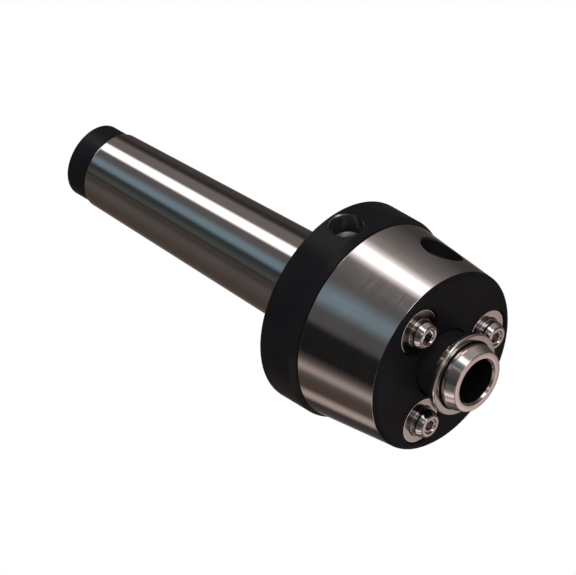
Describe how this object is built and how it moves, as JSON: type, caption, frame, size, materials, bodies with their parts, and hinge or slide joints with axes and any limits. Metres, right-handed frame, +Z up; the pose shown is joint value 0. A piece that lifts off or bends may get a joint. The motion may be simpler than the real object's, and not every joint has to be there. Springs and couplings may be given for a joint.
{
  "type": "face driver",
  "caption": "Face driver on a Morse taper shank: a ground conical head with sliding drive pins round a sprung centre sleeve, and a black draw-off nut behind the head.",
  "frame": {"origin": "on the axis at the gauge line of the Morse taper", "axes": "+X along the axis towards the workpiece, +Y towards the first drive pin, +Z up"},
  "size_m": [0.1727, 0.069, 0.069],
  "materials": {
    "ground_taper": "fine ground, bright",
    "ground_head": "fine ground, bright",
    "black_oxide": "black oxide over turned steel, satin",
    "pin_steel": "hardened and ground",
    "bush_steel": "hardened and lapped",
    "sleeve_steel": "hardened and polished",
    "guide_bronze": "bored bronze",
    "spring_steel": "drawn wire, dull",
    "inner_steel": "turned, dull",
    "screw_black": "blackened steel",
    "seal_rubber": "smooth, dull",
    "washer_copper": "soft copper, dull"
  },
  "bodies": {
    "housing": {"taper_shank": "ground_taper", "rear_end_bush": "black_oxide", "head_housing": "ground_head", "front_plate": "black_oxide", "centre_guide_bush": "guide_bronze", "slide_key": "inner_steel", "centre_spring": "spring_steel", "preload_screw": "screw_black", "lock_screw": "screw_black", "thrust_key_pin": "inner_steel", "filler_plug": "screw_black", "plug_washer": "washer_copper", "gallery_seals": "seal_rubber", "flange_screws": "screw_black", "flange_dowels": "inner_steel", "pin_bush_1": "bush_steel", "pin_bush_2": "bush_steel", "pin_bush_3": "bush_steel"},
    "pin_1": {"drive_pin_1": "pin_steel", "piston_seal_1": "seal_rubber"},
    "pin_2": {"drive_pin_2": "pin_steel", "piston_seal_2": "seal_rubber"},
    "pin_3": {"drive_pin_3": "pin_steel", "piston_seal_3": "seal_rubber"},
    "centre": {"centre_sleeve": "sleeve_steel", "sleeve_stop_ring": "spring_steel", "spring_button": "inner_steel"},
    "thrust_ring": {"thrust_ring": "inner_steel"},
    "nut": {"draw_off_nut": "black_oxide", "thrust_snap_ring": "spring_steel"}
  },
  "joints": [
    {"name": "pin_1_slide", "type": "slide", "parent": "housing", "child": "pin_1", "axis": [1, 0, 0], "range_m": [-0.0015, 0.0015]},
    {"name": "pin_2_slide", "type": "slide", "parent": "housing", "child": "pin_2", "axis": [1, 0, 0], "range_m": [-0.0015, 0.0015]},
    {"name": "pin_3_slide", "type": "slide", "parent": "housing", "child": "pin_3", "axis": [1, 0, 0], "range_m": [-0.0015, 0.0015]},
    {"name": "centre_slide", "type": "slide", "parent": "housing", "child": "centre", "axis": [1, 0, 0], "range_m": [-0.005, 0], "stiffness_N_per_m": 16800, "springref_m": 0.002, "deforming": ["centre_spring"]},
    {"name": "nut_travel", "type": "slide", "parent": "housing", "child": "thrust_ring", "axis": [1, 0, 0], "range_m": [-0.003, 0]},
    {"name": "nut_turn", "type": "hinge", "parent": "thrust_ring", "child": "nut", "pos_m": [0.012, 0, 0], "axis": [1, 0, 0], "range_deg": [-720, 0]}
  ],
  "couplings": [
    {"joint": "nut_travel", "follows": "nut_turn", "m_per_rad": 0.00023873}
  ]
}
